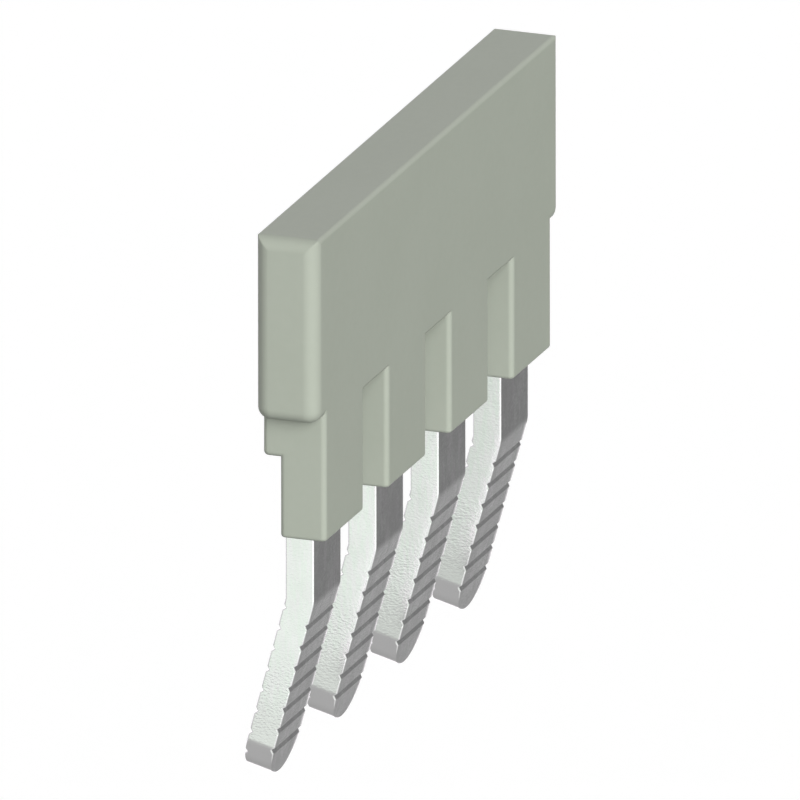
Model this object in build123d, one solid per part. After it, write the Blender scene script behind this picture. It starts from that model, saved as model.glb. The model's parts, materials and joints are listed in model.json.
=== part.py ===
"""Four-way jumper for a row of terminal blocks: a stamped metal comb moulded into a grey insulating grip.

Units are millimetres. X runs along the row of prongs, -Y is the big flat face that the operator sees,
+Y is the side that the prongs bend towards, and +Z is up. The origin is the middle of the row, in the
plane of the finger ends that seats on the terminal blocks, halfway through the thickness of the sheet.
"""
from build123d import *
import os
from math import cos, radians, sin, tan

# The row
prong_count = 4
pitch = 6.2                     # width of one terminal block

# Sheet metal comb
sheet_thickness = 1.03
prong_width = 2.7
straight_length = 2.41          # from the finger end to the middle of the bend
bend_angle = 15.0
bend_inner_radius = 0.15
bent_length = 6.73              # from the middle of the bend to the end of the half-round tip
tip_back_radius = 0.1           # lead-in on the back edge of the tip

# Grip serrations, rolled across both flat sides of each prong
notch_pitch = 0.79
notch_depth = 0.1
notch_half_width = 0.12
front_notch_count = 7
back_notch_count = 8
first_back_notch = 0.4          # from the middle of the bend, along the prong

# Moulded grip
front_wall = 0.635              # plastic in front of the sheet
back_wall = 0.615               # plastic behind it
block_height = 6.6
block_overhang = 0.86           # the block stands out past the outer fingers by this much
block_corner_radius = 0.5       # the four upright corners
block_end_edge_radius = 0.45    # top edge of each end
block_underside_radius = 0.43
block_front_edge_radius = 0.15  # where the big flat face meets the top
block_back_edge_radius = 0.1
over_bar_wall = 1.2             # plastic above the hidden bar
under_bar_wall = 1.0            # plastic below it, over each slot

# Fingers that sheathe the root of each prong and drop between the partition walls
finger_width = 3.82
finger_height = 4.4
open_back_height = 2.87         # below this level the finger has no back wall
finger_corner_radius = 0.18
finger_end_radius = 0.11
shoulder_radius = 0.17          # lower edge of the back wall

# Sizes that follow from those above
row_length = (prong_count - 1) * pitch
housing_thickness = front_wall + sheet_thickness + back_wall
housing_middle = (back_wall - front_wall) / 2
fingers_length = row_length + finger_width
block_length = fingers_length + 2 * block_overhang
block_top = finger_height + block_height
bar_bottom = finger_height + under_bar_wall
bar_top = block_top - over_bar_wall
open_back_thickness = front_wall + sheet_thickness
bend_shift = sheet_thickness / 2 * tan(radians(bend_angle / 2))
bend_level = -straight_length


def at_each_prong():
    """Places of the prongs along the row."""
    return [Pos(X=(i - (prong_count - 1) / 2) * pitch) for i in range(prong_count)]


def upright(width, depth, middle, radius, bottom, top):
    """Block with rounded upright corners, between two levels, its depth centred on Y = middle."""
    plan = RectangleRounded(width, depth, radius)
    return Pos(0, middle, bottom) * extrude(plan, amount=top - bottom)


def bend_plane():
    """Plane of the bent part's middle, X along the row and Y down the prong from the bend."""
    down_the_prong = Vector(0, sin(radians(bend_angle)), -cos(radians(bend_angle)))
    across_the_sheet = Vector(1, 0, 0).cross(down_the_prong)
    return Plane(origin=(0, 0, bend_level), x_dir=(1, 0, 0), z_dir=across_the_sheet)


def prong_stem(top):
    """Straight part of one prong, with its lower end mitred on the plane that halves the bend."""
    half = sheet_thickness / 2
    side = Polygon(
        (-half, top),
        (-half, bend_level - bend_shift),
        (half, bend_level + bend_shift),
        (half, top),
        align=None,
    )
    return extrude(Plane.YZ * side, amount=prong_width / 2, both=True)


def tip_outline():
    """Flat outline of the bent part: square at the bend, with a half-round tip."""
    tip_radius = prong_width / 2
    side_length = bent_length - tip_radius + bend_shift
    sides = Pos(0, side_length / 2 - bend_shift) * Rectangle(prong_width, side_length)
    return sides + Pos(0, bent_length - tip_radius) * Circle(tip_radius)


def notch(station, side):
    """V-shaped groove across the sheet, at a distance down the prong; side is -1 in front, 1 behind."""
    face = side * sheet_thickness / 2
    mouth = face + side * notch_depth
    mouth_half_width = 2 * notch_half_width
    return Polygon(
        (station, face - side * notch_depth),
        (station - mouth_half_width, mouth),
        (station + mouth_half_width, mouth),
        align=None,
    )


def bent_side():
    """Side view of the bent part, down the prong and through the sheet, with its serrations."""
    half = sheet_thickness / 2
    side = Polygon(
        (bend_shift, half),
        (-bend_shift, -half),
        (bent_length, -half),
        (bent_length, half),
        align=None,
    )
    back_corner = side.vertices().sort_by(Axis.X)[-2:].sort_by(Axis.Y)[-1]
    side = fillet(back_corner, tip_back_radius)
    for i in range(back_notch_count):
        side -= notch(first_back_notch + i * notch_pitch, 1)
    for i in range(front_notch_count):
        side -= notch(first_back_notch + (i + 0.5) * notch_pitch, -1)
    return side


def bent_prong():
    """Serrated blade below the bend: its side view and its flat outline, one cut by the other."""
    plane = bend_plane()
    side_plane = Plane(origin=plane.origin, x_dir=plane.y_dir, z_dir=plane.x_dir)
    blade = extrude(side_plane * bent_side(), amount=prong_width / 2, both=True)
    blank = extrude(plane * tip_outline(), amount=sheet_thickness, both=True)
    return blade & blank


def comb_core():
    """The part of the comb that the grip is moulded round: the hidden bar and the prongs' roots."""
    bar = Pos(0, 0, (bar_bottom + bar_top) / 2) * Box(
        row_length + prong_width, sheet_thickness, bar_top - bar_bottom
    )
    return bar + [place * prong_stem(bar_bottom) for place in at_each_prong()]


def bend_corners(comb, side):
    """Edges of the comb along the outside (side -1) or the inside (side 1) of its bends."""
    level = bend_level + side * bend_shift
    return comb.edges().filter_by(Axis.X).filter_by_position(Axis.Z, level - 0.01, level + 0.01)


def bridge_comb():
    """Stamped comb that joins the terminal blocks electrically, each bend rounded about its own axis."""
    comb = comb_core() + [place * bent_prong() for place in at_each_prong()]
    comb = fillet(bend_corners(comb, -1), bend_inner_radius + sheet_thickness)
    return fillet(bend_corners(comb, 1), bend_inner_radius)


def block_view(width, middle, left_radius, right_radius):
    """Upright outline of the block seen from one side, with its own rounding at each top corner."""
    view = Pos(middle, finger_height + block_height / 2) * Rectangle(width, block_height)
    view = fillet(view.vertices().group_by(Axis.Y)[-1].sort_by(Axis.X)[0], left_radius)
    return fillet(view.vertices().group_by(Axis.Y)[-1].sort_by(Axis.X)[-1], right_radius)


def grip_block():
    """Block that is held and pressed home, rounded below, its top cut to its front and end views."""
    front_view = block_view(block_length, 0, block_end_edge_radius, block_end_edge_radius)
    end_view = block_view(
        housing_thickness, housing_middle, block_front_edge_radius, block_back_edge_radius
    )
    block = upright(
        block_length, housing_thickness, housing_middle, block_corner_radius, finger_height, block_top
    )
    block = fillet(block.faces().sort_by(Axis.Z)[0].edges(), block_underside_radius)
    block &= extrude(Plane.XZ * front_view, amount=block_length, both=True)
    return block & extrude(Plane.YZ * end_view, amount=block_length, both=True)


def finger():
    """Sheath of one prong: full thickness next to the block, open at the back towards its end."""
    open_back_middle = (sheet_thickness - open_back_thickness) / 2
    sheath = upright(
        finger_width, open_back_thickness, open_back_middle, finger_corner_radius, 0, finger_height
    )
    sheath = fillet(sheath.faces().sort_by(Axis.Z)[0].edges(), finger_end_radius)
    shoulder = upright(
        finger_width, housing_thickness, housing_middle, finger_corner_radius,
        open_back_height, finger_height,
    )
    return sheath + fillet(shoulder.faces().sort_by(Axis.Z)[0].edges(), shoulder_radius)


def insulating_housing():
    """Grey grip, moulded round the comb, so that every face of its cavity is a face of the metal."""
    root = upright(
        fingers_length, housing_thickness, housing_middle, finger_corner_radius,
        finger_height, bar_bottom,
    )
    grip = grip_block() + root + [place * finger() for place in at_each_prong()]
    return grip - comb_core()


nodes = {
    "insulating_housing": insulating_housing(),
    "bridge_comb": bridge_comb(),
}

os.makedirs("parts", exist_ok=True)
for name, shape in nodes.items():
    export_step(shape, f"parts/{name}.step")
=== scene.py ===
"""Looks of the four-way terminal block jumper: moulded grey grip, tinned comb, plain white studio.

Everything is in metres, in the part's own frame: X along the row, -Y the big flat side, +Z up.
"""
import json
from math import cos, pi, radians, sin, tan

import bpy
import numpy as np
from mathutils import Matrix, Vector

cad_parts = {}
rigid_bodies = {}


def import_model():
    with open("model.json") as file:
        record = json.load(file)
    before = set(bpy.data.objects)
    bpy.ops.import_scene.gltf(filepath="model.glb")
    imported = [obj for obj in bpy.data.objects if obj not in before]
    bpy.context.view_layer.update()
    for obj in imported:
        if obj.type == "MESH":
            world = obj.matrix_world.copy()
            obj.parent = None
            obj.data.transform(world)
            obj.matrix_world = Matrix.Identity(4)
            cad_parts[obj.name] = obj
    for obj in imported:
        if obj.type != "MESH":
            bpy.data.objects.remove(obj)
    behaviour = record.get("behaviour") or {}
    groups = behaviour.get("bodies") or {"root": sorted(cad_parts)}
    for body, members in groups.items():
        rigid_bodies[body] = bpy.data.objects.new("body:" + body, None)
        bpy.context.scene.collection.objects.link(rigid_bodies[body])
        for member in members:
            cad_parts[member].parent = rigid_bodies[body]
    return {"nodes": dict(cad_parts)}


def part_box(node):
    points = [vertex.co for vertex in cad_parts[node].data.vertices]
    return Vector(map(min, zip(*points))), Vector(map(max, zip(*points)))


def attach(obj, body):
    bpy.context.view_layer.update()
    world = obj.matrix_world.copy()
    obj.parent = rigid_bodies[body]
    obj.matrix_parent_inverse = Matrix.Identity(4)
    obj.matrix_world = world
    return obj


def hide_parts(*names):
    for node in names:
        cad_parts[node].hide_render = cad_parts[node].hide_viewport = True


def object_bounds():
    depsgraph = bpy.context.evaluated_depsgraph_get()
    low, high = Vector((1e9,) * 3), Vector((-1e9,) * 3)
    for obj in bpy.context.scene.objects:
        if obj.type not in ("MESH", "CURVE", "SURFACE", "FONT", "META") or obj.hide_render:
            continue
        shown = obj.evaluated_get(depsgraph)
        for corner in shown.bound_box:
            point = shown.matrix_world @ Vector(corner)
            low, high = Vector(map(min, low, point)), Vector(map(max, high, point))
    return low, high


MM = 0.001

for default_object in list(bpy.data.objects):
    bpy.data.objects.remove(default_object)

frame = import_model()
cad_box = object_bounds()
comb_low, comb_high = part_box("bridge_comb")

# The row
PRONG_COUNT = 4
PRONG_WIDTH = 2.7 * MM
SHEET = -2 * comb_low.y
PITCH = (comb_high.x - comb_low.x - PRONG_WIDTH) / (PRONG_COUNT - 1)

# The bend, below the level of the finger ends, which is zero
BEND_LEVEL = 2.41 * MM
BEND_ANGLE = radians(15)
BEND_RADIUS = 0.15 * MM + SHEET / 2     # at the middle of the sheet

# Levels along a prong, measured downwards from the finger ends
BAR_TOP = -comb_high.z
BAR_BOTTOM = -5.4 * MM
BLADE_LENGTH = (-comb_low.z - BEND_LEVEL - SHEET / 2 * sin(BEND_ANGLE)) / cos(BEND_ANGLE)
TIP_RADIUS = PRONG_WIDTH / 2
TIP_CENTRE = BEND_LEVEL + BLADE_LENGTH - TIP_RADIUS

# Rounding that plating and tumbling leave along every edge of the sheet
EDGE = 0.05 * MM
EDGE_STEPS = 4
EDGE_MARGIN = 0.02 * MM         # strip beside the rounding, so that the cut faces shade flat

# Rolled serrations
NOTCH_PITCH = 0.79 * MM
NOTCH_DEPTH = 0.1 * MM
NOTCH_HALF = 0.12 * MM
FIRST_BACK_NOTCH = BEND_LEVEL + 0.4 * MM
BACK_NOTCHES = FIRST_BACK_NOTCH + NOTCH_PITCH * np.arange(8)
FRONT_NOTCHES = FIRST_BACK_NOTCH + NOTCH_PITCH * (np.arange(7) + 0.5)

# Fineness of the comb's mesh
FACE_COLUMNS = 9                # points across each rolled face
BEND_ROWS = 7
TIP_ROWS = 17
LAST_TURN = radians(78)         # how far round the tip's arc the rows go, before a small grid closes it
SHARP_ANGLE = radians(30)

# Colours of the materials
PLASTIC_DARK = (0.333, 0.361, 0.305, 1.0)
PLASTIC_LIGHT = (0.345, 0.373, 0.317, 1.0)
TIN_WARM = (0.96, 0.94, 0.96, 1.0)
TIN_COOL = (0.93, 0.96, 0.935, 1.0)
TIN_WORN = (0.68, 0.68, 0.68, 1.0)
# Painted shade: the duller grey that the lower cut faces take, standing in for their darker reflections
TIN_PAINTED_DIM = (0.835, 0.83, 0.83, 1.0)

# Scales of the surface patterns, in cells per metre
FLOW_CLOUDS = 260.0
SPARK_GRAIN = 9000.0
SPECKS = 3200.0
TARNISH_CLOUDS = 750.0
ROLLING_STREAKS = 9000.0
SHEAR_MARKS = 15000.0
PITS = 8000.0
STAINS = 1900.0
SMEARS = 5200.0
FACE_GRAIN = 9000.0

# Heights in the part between which the crackle of the cut faces, and their painted shade, set in
CRACKLE_FROM_ABOVE = (-4.0 * MM, -5.4 * MM)
CRACKLE_FROM_BELOW = (-7.9 * MM, -6.6 * MM)
# Painted shade on the cut faces sets in between these heights
PAINTED_DIM_FROM_ABOVE = (-5.2 * MM, -7.4 * MM)

# Camera
PHOTO_AZIMUTH = radians(-69.962)
PHOTO_ELEVATION = radians(18.445)
PHOTO_ROLL = radians(-0.056)
PHOTO_WIDTH = 27.2007 * MM      # what the square picture spans
PHOTO_SHIFT_RIGHT = -0.2291 * MM
PHOTO_SHIFT_UP = 1.4016 * MM
CAMERA_DISTANCE = 0.5
CLIP_START = 1 * MM
CLIP_END = 40.0

# Lamps: the direction towards each, its strength, and how many degrees of the sky it fills
KEY_LAMP = {"toward": (-0.7235, -0.618, 0.308), "strength": 4.65, "spread": 50}
FILL_LAMP = {"toward": (0.35, 0.93, 0.05), "strength": 1.8, "spread": 30}
STRIP_WIDTH = 43.5 * MM
STRIP_HEIGHT = 60 * MM
STRIP_PLACE = (-60 * MM, 0.75 * MM, -20 * MM)
STRIP_LEAN = radians(-30)
STRIP_COLOUR = (0.93, 1.0, 0.93)
STRIP_POWER = 0.00207

# Directions to the parts of the studio that only reflections see
FLAG_DIRECTION = (0.78, -0.55, -0.3)        # dark flag, in the prongs' front faces
PANEL_DIRECTION = (-0.55, -0.65, -0.52)     # bright panel, in the curved tips
CARD_DIRECTION = (0.1, 0.97, -0.2)          # grey card, in the rounded back edges
FAR_DIRECTION = (0.891, 0.324, -0.317)      # bright background, in faces seen at a glancing angle

# Where those parts fade in: heights run from -1, straight down, to 1, straight up, and the rest is
# how nearly a direction points at the part, up to 1
WALL_TO_SKY = (-0.1, 0.25)
WALL_TO_GROUND = (-0.35, -0.39)
PANEL_TOP = (-0.265, -0.305)
PANEL_SHADE = (-0.34, -0.43)
FLAG_SHADE = (-0.32, -0.46)
FLAG_TOP = (-0.25, -0.05)
AMBIENT_SHADE = (0.2, -0.8)
CARD_EDGE = (0.6, 0.8)
PANEL_EDGE = (0.6, 0.8)
FLAG_EDGE = (0.8, 0.87)
FAR_EDGE = (0.85, 0.95)
GROUND_BY_FLAG = (-0.2, 0.8)

# Colours and grey levels of the studio
WALL_COLOUR = (0.69, 0.735, 0.69, 1.0)
SKY_COLOUR = (1.04, 1.03, 1.04, 1.0)
CARD_COLOUR = (0.7, 0.67, 0.71, 1.0)
FAR_COLOUR = (1.4, 1.35, 1.39, 1.0)
BACKDROP_GREY = 0.991

# Floor
FLOOR_DROP = 60 * MM
FLOOR_RADIUS = 3.0
FLOOR_SIDES = 64
FLOOR_GREY = 0.5
FLOOR_GLOW = 0.66


class Wire:
    """One output socket of a node tree; sums and products of wires add Math nodes to the tree."""

    def __init__(self, tree, socket=None):
        self.tree = tree
        self.socket = socket

    def node(self, kind, settings, sockets, output=0):
        """Adds a node: settings first, then its sockets, each given a value or another wire."""
        new = self.tree.nodes.new(kind)
        for name, value in settings.items():
            setattr(new, name, value)
        for key, value in sockets.items():
            if isinstance(value, Wire):
                self.tree.links.new(value.socket, new.inputs[key])
            else:
                new.inputs[key].default_value = value
        return Wire(self.tree, new.outputs[output] if new.outputs else None)

    def math(self, operation, *values):
        return self.node("ShaderNodeMath", {"operation": operation}, dict(enumerate(values)))

    def __add__(self, other):
        return self.math("ADD", self, other)

    def __rsub__(self, other):
        return self.math("SUBTRACT", other, self)

    def __mul__(self, other):
        return self.math("MULTIPLY", self, other)

    __radd__ = __add__
    __rmul__ = __mul__

    def rise(self, low, high):
        """Smooth step from 0 at low to 1 at high."""
        settings = {"interpolation_type": "SMOOTHSTEP"}
        sockets = {0: self, 1: low, 2: high, 3: 0.0, 4: 1.0}
        return self.node("ShaderNodeMapRange", settings, sockets)

    def blend(self, first, second):
        """Colour between two others, with this wire as the share of the second."""
        sockets = {0: self, 6: first, 7: second}
        return self.node("ShaderNodeMix", {"data_type": "RGBA"}, sockets, output=2)

    def noise(self, scale, detail=2.0, roughness=0.5):
        """Cloud pattern over these coordinates."""
        sockets = {"Vector": self, "Scale": scale, "Detail": detail, "Roughness": roughness}
        return self.node("ShaderNodeTexNoise", {}, sockets)

    def stretched(self, scale, turn=(0.0, 0.0, 0.0)):
        """Coordinates turned and then stretched, for a pattern that is longer one way."""
        sockets = {"Vector": self, "Rotation": turn, "Scale": scale}
        return self.node("ShaderNodeMapping", {"vector_type": "POINT"}, sockets)

    def height(self):
        """Third coordinate."""
        return self.node("ShaderNodeSeparateXYZ", {}, {0: self}, output="Z")

    def toward(self, target):
        """How nearly this direction points at the target, 1 at most."""
        dot = {"operation": "DOT_PRODUCT"}
        return self.node("ShaderNodeVectorMath", dot, {0: self, 1: target}, output="Value")


def grey(level):
    return (level, level, level, 1.0)


def new_material(name):
    """Material with an empty node tree, and a wire to start its nodes from."""
    material = bpy.data.materials.new(name)
    material.use_nodes = True
    material.node_tree.nodes.clear()
    return material, Wire(material.node_tree)


def object_place(start):
    """Coordinates on the piece itself, in metres."""
    return start.node("ShaderNodeTexCoord", {}, {}, output="Object")


def finish_material(start, surface):
    start.node("ShaderNodeOutputMaterial", {}, {"Surface": surface})


def moulded_grey():
    """Glass-filled polyamide: matt grey-green, fine spark-eroded grain, faint flow clouds."""
    material, start = new_material("moulded_grey")
    place = object_place(start)
    clouds = place.noise(FLOW_CLOUDS, detail=3.0)
    grain = place.noise(SPARK_GRAIN, roughness=0.6)
    speck = place.noise(SPECKS, detail=1.0)
    mottle = 0.65 * clouds + 0.35 * speck
    relief = 0.7 * grain + 0.3 * speck
    eased = start.node("ShaderNodeBevel", {"samples": 6}, {"Radius": 0.08 * MM})
    sockets = {"Strength": 0.12, "Distance": 0.01 * MM, "Height": relief, "Normal": eased}
    surface = start.node(
        "ShaderNodeBsdfPrincipled",
        {},
        {
            "Base Color": mottle.rise(0.3, 0.7).blend(PLASTIC_DARK, PLASTIC_LIGHT),
            "Roughness": 0.42 + 0.08 * grain,
            "IOR": 1.5,
            "Specular IOR Level": 0.5,
            "Normal": start.node("ShaderNodeBump", {}, sockets),
        },
    )
    finish_material(start, surface)
    return material


def tinned_sheet():
    """Bright tin on stamped copper: brushed along the rolled faces, sheared across the cut ones.

    The mesh carries its own attribute, cut, which is 1 on the cut faces and 0 on the rolled ones. Lower
    down, the cut faces are crackled by the shears, and painted a duller grey as painted shade for the
    darker reflections they catch there. The rolled faces are worn in long stains, and cloudy tarnish
    lies over all of it.
    """
    material, start = new_material("tinned_sheet")
    place = object_place(start)
    level = place.height()
    cut = start.node("ShaderNodeAttribute", {"attribute_name": "cut"}, {}, output="Fac")
    rolled = 1 - cut
    crackled = level.rise(*CRACKLE_FROM_ABOVE) * level.rise(*CRACKLE_FROM_BELOW)
    # Painted shade: the cut faces turn a duller grey lower down, standing in for their darker
    # reflections
    painted_dim_low = cut * level.rise(*PAINTED_DIM_FROM_ABOVE)
    tarnish = (1 - 0.8 * cut) * place.noise(TARNISH_CLOUDS, detail=1.0).rise(0.4, 0.62)

    streaks = place.stretched((1.0, 0.02, 0.02)).noise(ROLLING_STREAKS, detail=3.0)
    across = place.stretched((0.45, 0.5, 1.0), turn=(radians(9), 0.0, 0.0))
    shear = across.noise(SHEAR_MARKS, roughness=0.6)
    pits = place.noise(PITS)
    brushed = 0.2 * streaks + 1.1 * shear + 0.5 * pits
    sheared = (1.2 + 2.4 * crackled) * shear + 0.3 * pits
    relief = cut * sheared + rolled * brushed
    sockets = {"Strength": 0.35, "Distance": 0.006 * MM, "Height": relief}

    stains = place.stretched((1.0, 1.0, 0.4)).noise(STAINS, detail=4.0, roughness=0.6)
    smears = place.stretched((1.0, 1.0, 0.2)).noise(SMEARS, detail=3.0, roughness=0.65)
    grain = across.noise(FACE_GRAIN, detail=3.0, roughness=0.7)
    wear = (1 - 0.65 * cut) * (0.6 * stains + 0.4 * smears).rise(0.36, 0.64)
    wear = 0.7 * wear + rolled * 0.5 * grain.rise(0.35, 0.7)
    tone = smears.rise(0.35, 0.65).blend(TIN_WARM, TIN_COOL)
    tone = (0.62 * wear).blend(tone, TIN_WORN)
    tone = painted_dim_low.blend(tone, TIN_PAINTED_DIM)
    tone = (0.42 * tarnish).blend(tone, TIN_WORN)
    surface = start.node(
        "ShaderNodeBsdfPrincipled",
        {},
        {
            "Base Color": tone,
            "Metallic": 1.0,
            "Roughness": 0.13 + 0.06 * pits,
            "Normal": start.node("ShaderNodeBump", {}, sockets),
        },
    )
    finish_material(start, surface)
    return material


def index_quads(grid):
    """Quads between neighbouring rows and columns of a grid of vertex numbers."""
    corners = (grid[:-1, :-1], grid[:-1, 1:], grid[1:, 1:], grid[1:, :-1])
    return np.stack(corners, axis=-1).reshape(-1, 4).tolist()


def notch_depth(distance, centres):
    """Depth of the V grooves at each distance down the prong: a triangle of half width NOTCH_HALF."""
    nearest = np.abs(distance[:, None] - centres).min(axis=1)
    return NOTCH_DEPTH * np.clip(1 - nearest / NOTCH_HALF, 0, None)


def along_the_bend(x, down, through):
    """Points of the sheet in space, from places on it: across, down the prong, and in its thickness.

    Above the bend the sheet hangs straight down. Round the bend, the angle grows evenly with the
    distance and the point turns about an axis behind the sheet. Below it, the sheet runs straight
    at BEND_ANGLE.
    """
    reach = BEND_RADIUS * tan(BEND_ANGLE / 2)
    angle = BEND_ANGLE * np.clip((down - BEND_LEVEL + reach) / (2 * reach), 0, 1)
    straight = np.minimum(down, BEND_LEVEL - reach)
    beyond = np.maximum(down - BEND_LEVEL - reach, 0)
    swing = through - BEND_RADIUS
    y = BEND_RADIUS + swing * np.cos(angle) + beyond * sin(BEND_ANGLE)
    z = -straight + swing * np.sin(angle) - beyond * cos(BEND_ANGLE)
    return np.stack(np.broadcast_arrays(x, y, z), axis=-1)


def prong_rows():
    """Distances down the prong with a row of vertices: root, bend, each notch and the tip's arc."""
    reach = BEND_RADIUS * tan(BEND_ANGLE / 2)
    bend = BEND_LEVEL + np.linspace(-reach, reach, BEND_ROWS)
    notches = np.concatenate([FRONT_NOTCHES, BACK_NOTCHES])
    grooves = (notches[:, None] + NOTCH_HALF * np.array([-1, 0, 1])).ravel()
    turn = np.linspace(0, LAST_TURN, TIP_ROWS)
    tip = TIP_CENTRE + (TIP_RADIUS - EDGE) * np.sin(turn)
    rows = np.concatenate([[BAR_BOTTOM, 0, BEND_LEVEL / 2], bend, grooves, tip])
    return np.unique(rows.round(9))     # to a nanometre, so that equal rows merge


def comb_mesh():
    """Whole comb as one closed surface.

    Each prong is a grid: rows down the prong by points round its section, which is a rectangle with
    rounded edges. The half width of a row is constant and then follows the half-round tip, R * cos(t)
    about its centre; the edge profile is a quarter circle at each face, offset along the outline's
    own normal. The last row bulges down along the tip's arc, a small grid closes it, and the bar
    joins the four roots.
    """
    columns = FACE_COLUMNS
    rows = prong_rows()
    radius = TIP_RADIUS - EDGE
    sine = np.clip((rows - TIP_CENTRE) / radius, 0, 1)
    cosine = np.sqrt(1 - sine**2)
    half_width = radius * cosine
    front = -SHEET / 2 + notch_depth(rows, FRONT_NOTCHES)
    back = SHEET / 2 - notch_depth(rows, BACK_NOTCHES)

    quarter = np.linspace(0, pi / 2, EDGE_STEPS + 1)
    out = np.append(EDGE * np.sin(quarter), EDGE)
    sunk = np.append(EDGE * (1 - np.cos(quarter)), EDGE + EDGE_MARGIN)
    profile_out = np.concatenate([out, out[::-1]])
    profile_sunk = np.concatenate([sunk, sunk[::-1]])
    profile_behind = np.repeat([0, 1], len(out))
    side = len(profile_out) - 2

    across = np.linspace(-1, 1, columns)
    ring_x = np.concatenate([across, np.ones(side), -across, -np.ones(side)])
    zeros = np.zeros(columns)
    ring_out = np.concatenate([zeros, profile_out[1:-1], zeros, profile_out[-2:0:-1]])
    ring_sunk = np.concatenate([zeros, profile_sunk[1:-1], zeros, profile_sunk[-2:0:-1]])
    ring_behind = np.concatenate([zeros, profile_behind[1:-1], zeros + 1, profile_behind[-2:0:-1]])

    def through(behind, sunk_by, front_face, back_face):
        return np.where(behind > 0, back_face - sunk_by, front_face + sunk_by)

    x = half_width[:, None] * ring_x + np.sign(ring_x) * ring_out * cosine[:, None]
    down = rows[:, None] + ring_out * sine[:, None]
    down[-1] += np.sqrt(radius**2 - (half_width[-1] * ring_x) ** 2) - radius * sine[-1]
    ring_y = through(ring_behind, ring_sunk, front[:, None], back[:, None])
    body = along_the_bend(x, down, ring_y).reshape(-1, 3)

    chord = half_width[-1] * across[1:-1, None]
    share = 1 + profile_out[1:-1] / radius
    end_y = through(profile_behind, profile_sunk, front[-1], back[-1])[1:-1]
    end_down = TIP_CENTRE + np.sqrt(radius**2 - chord**2) * share
    end = along_the_bend(chord * share, end_down, end_y).reshape(-1, 3)

    one_prong = np.concatenate([body, end])
    cut_of_one = np.concatenate([np.tile(ring_out / EDGE, len(rows)), np.ones(len(end))])

    ring_size = len(ring_x)
    ring = np.arange(len(rows) * ring_size).reshape(len(rows), ring_size)
    faces_of_ring = {
        "front": np.arange(columns),
        "right": np.arange(columns - 1, columns + side + 1),
        "back": np.arange(columns + side, 2 * columns + side),
        "left": np.append(np.arange(2 * columns + side - 1, ring_size), 0),
    }
    closed = np.hstack([ring, ring[:, :1]])
    bottom = ring[-1]
    cap = np.empty((columns, side + 2), int)
    cap[:, 0] = bottom[faces_of_ring["front"]]
    cap[:, -1] = bottom[faces_of_ring["back"]][::-1]
    cap[-1] = bottom[faces_of_ring["right"]]
    cap[0] = bottom[faces_of_ring["left"]][::-1]
    cap[1:-1, 1:-1] = len(body) + np.arange(len(end)).reshape(columns - 2, side)
    prong_faces = np.array(index_quads(closed[:, ::-1]) + index_quads(cap[:, ::-1]))

    starts = len(one_prong) * np.arange(PRONG_COUNT)
    offsets = (np.arange(PRONG_COUNT) - (PRONG_COUNT - 1) / 2) * PITCH
    points = np.concatenate([one_prong + (offset, 0, 0) for offset in offsets])
    faces = np.concatenate([prong_faces + start for start in starts]).tolist()

    def root(prong, name):
        return starts[prong] + faces_of_ring[name]

    for left in range(PRONG_COUNT - 1):
        gap = np.concatenate([root(left, "right"), root(left + 1, "left")])
        faces.append(gap[::-1].tolist())
    outline = [root(prong, "front") for prong in range(PRONG_COUNT)]
    outline.append(root(PRONG_COUNT - 1, "right")[1:-1])
    outline += [root(prong, "back") for prong in reversed(range(PRONG_COUNT))]
    outline.append(root(0, "left")[1:-1])
    lower = np.concatenate(outline)
    upper = len(points) + np.arange(len(lower))
    raised = points[lower]
    raised[:, 2] = -BAR_TOP
    points = np.concatenate([points, raised])
    walls = np.stack([lower, upper])
    faces += index_quads(np.hstack([walls, walls[:, :1]]))
    faces.append(upper.tolist())

    cut = np.concatenate([np.tile(cut_of_one, PRONG_COUNT), np.zeros(len(lower))])
    mesh = bpy.data.meshes.new("bridge_comb_plated")
    mesh.from_pydata(points.tolist(), [], faces)
    mesh.attributes.new("cut", "FLOAT", "POINT").data.foreach_set("value", cut)
    mesh.shade_smooth()
    mesh.set_sharp_from_angle(angle=SHARP_ANGLE)
    mesh.update()
    return mesh


def add_object(name, data):
    """New object in the scene."""
    new = bpy.data.objects.new(name, data)
    bpy.context.scene.collection.objects.link(new)
    return new


def plated_comb():
    """The comb with its rounded edges and serrations, in place of the plain solid."""
    piece = add_object("bridge_comb_plated", comb_mesh())
    piece.data.materials.append(tinned_sheet())
    normals = piece.modifiers.new("even_shading", "WEIGHTED_NORMAL")
    normals.keep_sharp = True
    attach(piece, "root")
    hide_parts("bridge_comb")


def dress_housing():
    """Moulded finish on the grip's own solid."""
    housing = frame["nodes"]["insulating_housing"]
    housing.data.materials.clear()
    housing.data.materials.append(moulded_grey())


def make_camera():
    """Parallel view, because the photograph was taken from afar and shows hardly any perspective."""
    camera = add_object("camera", bpy.data.cameras.new("camera"))
    bpy.context.scene.camera = camera
    camera.data.type = "ORTHO"
    camera.data.ortho_scale = PHOTO_WIDTH
    camera.data.clip_start = CLIP_START
    camera.data.clip_end = CLIP_END
    level = cos(PHOTO_ELEVATION)
    back = Vector(
        (sin(PHOTO_AZIMUTH) * level, -cos(PHOTO_AZIMUTH) * level, sin(PHOTO_ELEVATION))
    )
    right = Vector((cos(PHOTO_AZIMUTH), sin(PHOTO_AZIMUTH), 0))
    up = back.cross(right)
    place = right * PHOTO_SHIFT_RIGHT + up * PHOTO_SHIFT_UP + back * CAMERA_DISTANCE
    aim = Matrix((right, up, back)).transposed().to_4x4()
    camera.matrix_world = Matrix.Translation(place) @ aim @ Matrix.Rotation(PHOTO_ROLL, 4, "Z")


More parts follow.
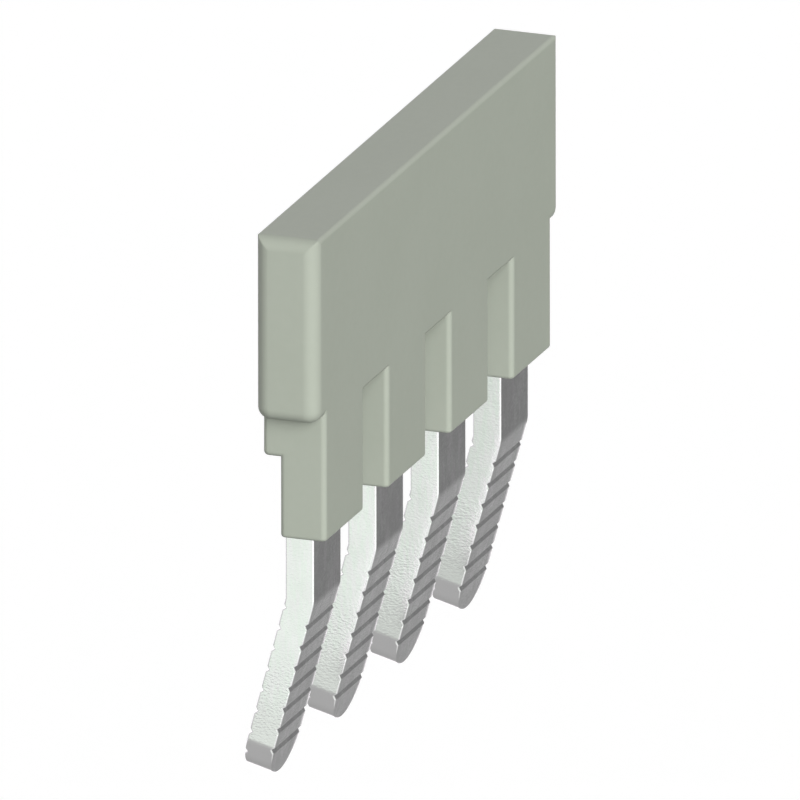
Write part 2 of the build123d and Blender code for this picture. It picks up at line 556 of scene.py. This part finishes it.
def make_sun(name, toward, strength, spread):
    """Broad lamp far away, in the direction toward; it lights the object, but no metal mirrors it."""
    lamp = bpy.data.lights.new(name, "SUN")
    lamp.energy = strength
    lamp.angle = radians(spread)
    sun = add_object(name, lamp)
    sun.rotation_mode = "QUATERNION"
    sun.rotation_quaternion = Vector(toward).to_track_quat("Z", "Y")
    sun.visible_glossy = False


def make_strip():
    """Near lamp beside the row that only the metal's cut faces mirror, fading from prong to prong."""
    lamp = bpy.data.lights.new("strip", "AREA")
    lamp.shape = "RECTANGLE"
    lamp.size = STRIP_WIDTH
    lamp.size_y = STRIP_HEIGHT
    lamp.color = STRIP_COLOUR
    lamp.energy = STRIP_POWER
    strip = add_object("strip", lamp)
    strip.location = STRIP_PLACE
    strip.rotation_mode = "QUATERNION"
    lean = Matrix.Rotation(STRIP_LEAN, 3, "X").to_quaternion()
    strip.rotation_quaternion = lean @ Vector((-1, 0, 0)).to_track_quat("Z", "Y")
    strip.visible_camera = False
    strip.visible_diffuse = False


def make_world():
    """White surroundings, soft grey light on the object, and a studio that only reflections see.

    The reflected studio has pale green-white walls under a white sky, and a grey ground that starts
    a little below the horizon. Four things stand in it: a grey card behind the row, a bright
    background beyond it, a bright panel low on the near side, and a dark flag on the side that the
    prongs' front faces mirror.
    """
    world = bpy.data.worlds.new("studio")
    bpy.context.scene.world = world
    world.use_nodes = True
    world.cycles.sampling_method = "NONE"
    world.node_tree.nodes.clear()
    start = Wire(world.node_tree)
    direction = start.node("ShaderNodeTexCoord", {}, {}, output="Generated")
    height = direction.height()
    to_flag = direction.toward(FLAG_DIRECTION)

    wall = height.rise(*WALL_TO_SKY).blend(WALL_COLOUR, SKY_COLOUR)
    wall = direction.toward(CARD_DIRECTION).rise(*CARD_EDGE).blend(wall, CARD_COLOUR)
    ground = to_flag.rise(*GROUND_BY_FLAG).blend(grey(0.46), grey(0.34))
    room = height.rise(*WALL_TO_GROUND).blend(wall, ground)
    room = direction.toward(FAR_DIRECTION).rise(*FAR_EDGE).blend(room, FAR_COLOUR)
    panel = height.rise(*PANEL_SHADE).blend(grey(1.5), grey(0.8))
    in_panel = direction.toward(PANEL_DIRECTION).rise(*PANEL_EDGE) * height.rise(*PANEL_TOP)
    room = in_panel.blend(room, panel)
    flag = height.rise(*FLAG_SHADE).blend(grey(0.224), grey(0.345))
    flag = height.rise(*FLAG_TOP).blend(flag, grey(0.225))
    reflected = to_flag.rise(*FLAG_EDGE).blend(room, flag)
    ambient = height.rise(*AMBIENT_SHADE).blend(grey(0.17), grey(0.115))

    camera_ray = start.node("ShaderNodeLightPath", {}, {}, output="Is Camera Ray")
    glossy_ray = start.node("ShaderNodeLightPath", {}, {}, output="Is Glossy Ray")
    seen = camera_ray.blend(glossy_ray.blend(ambient, reflected), grey(BACKDROP_GREY))
    surface = start.node("ShaderNodeBackground", {}, {"Color": seen, "Strength": 1.0})
    start.node("ShaderNodeOutputWorld", {}, {"Surface": surface})


def make_floor():
    """Plain pale floor, far enough below for the shadow to fall outside the photograph's frame."""
    turn = np.linspace(0, 2 * pi, FLOOR_SIDES, endpoint=False)
    level = np.full(FLOOR_SIDES, cad_box[0].z - FLOOR_DROP)
    rim = np.stack([FLOOR_RADIUS * np.cos(turn), FLOOR_RADIUS * np.sin(turn), level], axis=1)
    mesh = bpy.data.meshes.new("floor")
    mesh.from_pydata(rim.tolist(), [], [list(range(FLOOR_SIDES))])
    floor = add_object("floor", mesh)
    floor.visible_diffuse = False
    floor.visible_glossy = False
    material, start = new_material("pale_floor")
    lit = start.node("ShaderNodeBsdfDiffuse", {}, {"Color": grey(FLOOR_GREY)})
    sockets = {"Color": grey(1.0), "Strength": FLOOR_GLOW}
    glow = start.node("ShaderNodeEmission", {}, sockets)
    finish_material(start, start.node("ShaderNodeAddShader", {}, {0: lit, 1: glow}))
    mesh.materials.append(material)


bpy.context.scene.view_settings.view_transform = "Standard"
make_camera()
dress_housing()
plated_comb()
make_sun("key", **KEY_LAMP)
make_sun("fill", **FILL_LAMP)
make_strip()
make_world()
make_floor()
